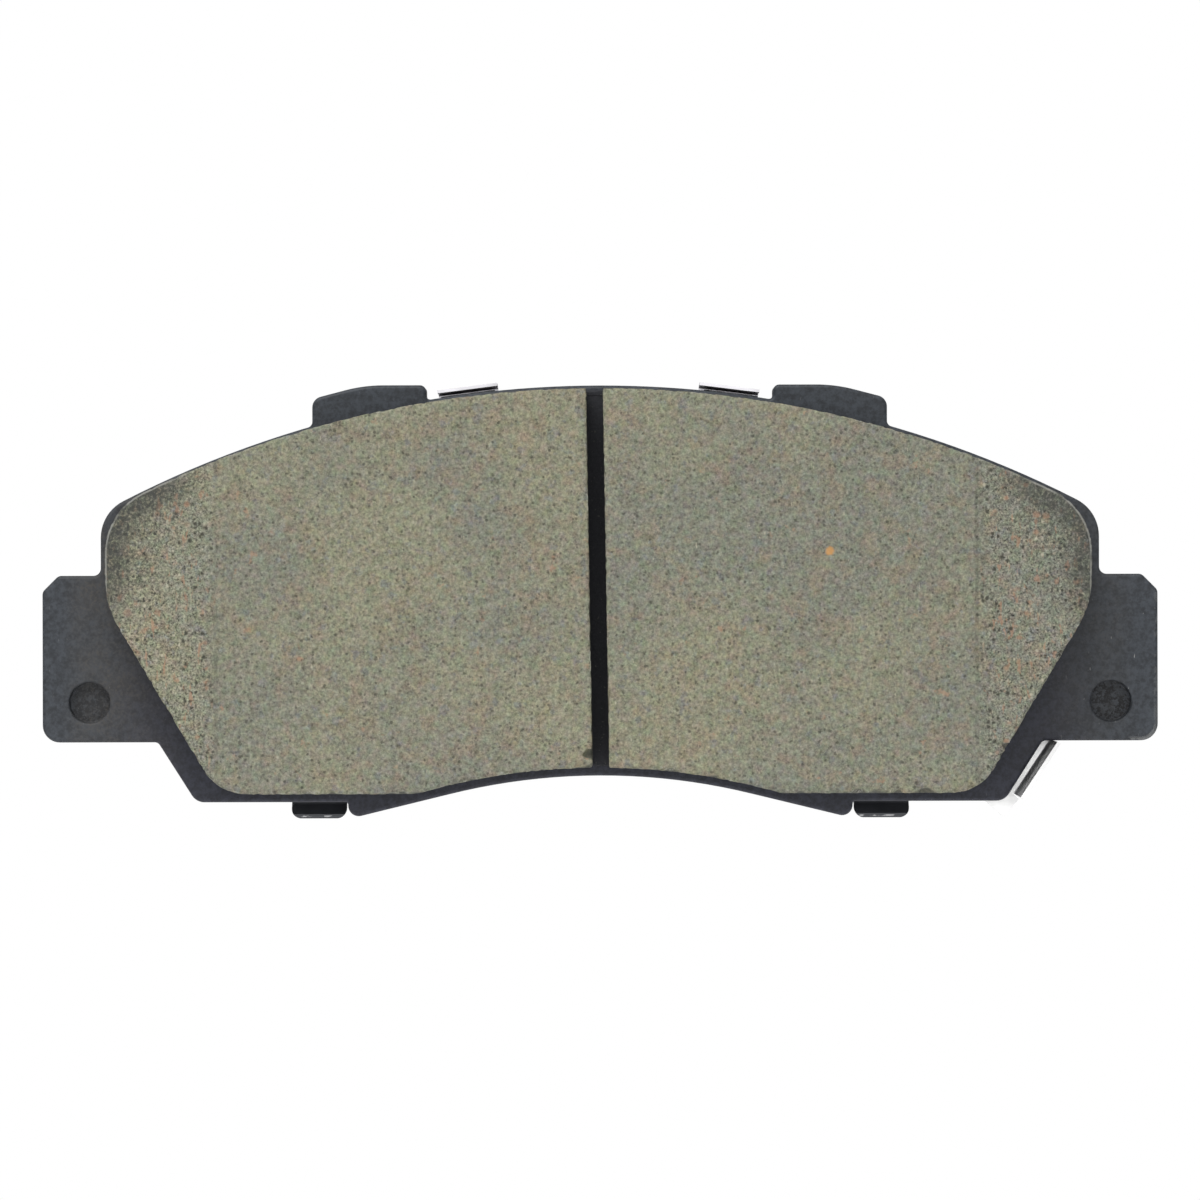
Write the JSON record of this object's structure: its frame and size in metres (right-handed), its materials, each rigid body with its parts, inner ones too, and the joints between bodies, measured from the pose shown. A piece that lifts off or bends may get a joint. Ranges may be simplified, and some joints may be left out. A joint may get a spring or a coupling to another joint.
{
  "type": "disc brake pad",
  "caption": "Disc brake pad with a slotted friction lining on a steel backing plate, clip-on anti-squeal shims and a sprung wear indicator.",
  "frame": {"origin": "centre of the outer shim's rear face, where the caliper piston pushes", "axes": "+X along the pad towards the wear indicator's end, +Y away from the brake disc, +Z away from the wheel's axle"},
  "size_m": [0.149, 0.0172, 0.0584],
  "materials": {
    "powder_coated_steel": "satin",
    "bonding_underlayer": "matte",
    "friction_material": "matte",
    "shim_rubber": "satin",
    "shim_core_steel": "satin",
    "stainless_steel": "satin",
    "spring_steel": "satin"
  },
  "bodies": {
    "pad": {"backing_plate": "powder_coated_steel", "underlayer": "bonding_underlayer", "friction_block_left": "friction_material", "friction_block_right": "friction_material", "wear_indicator": "spring_steel"},
    "inner_shim": {"inner_shim_front_rubber": "shim_rubber", "inner_shim_steel_core": "shim_core_steel", "inner_shim_rear_rubber": "shim_rubber"},
    "outer_shim": {"outer_shim": "stainless_steel"}
  },
  "joints": [
    {"name": "inner_shim_slide", "type": "slide", "parent": "pad", "child": "inner_shim", "axis": [0, 1, 0], "range_m": [0, 0.02]},
    {"name": "outer_shim_slide", "type": "slide", "parent": "inner_shim", "child": "outer_shim", "axis": [0, 1, 0], "range_m": [0, 0.015]}
  ]
}
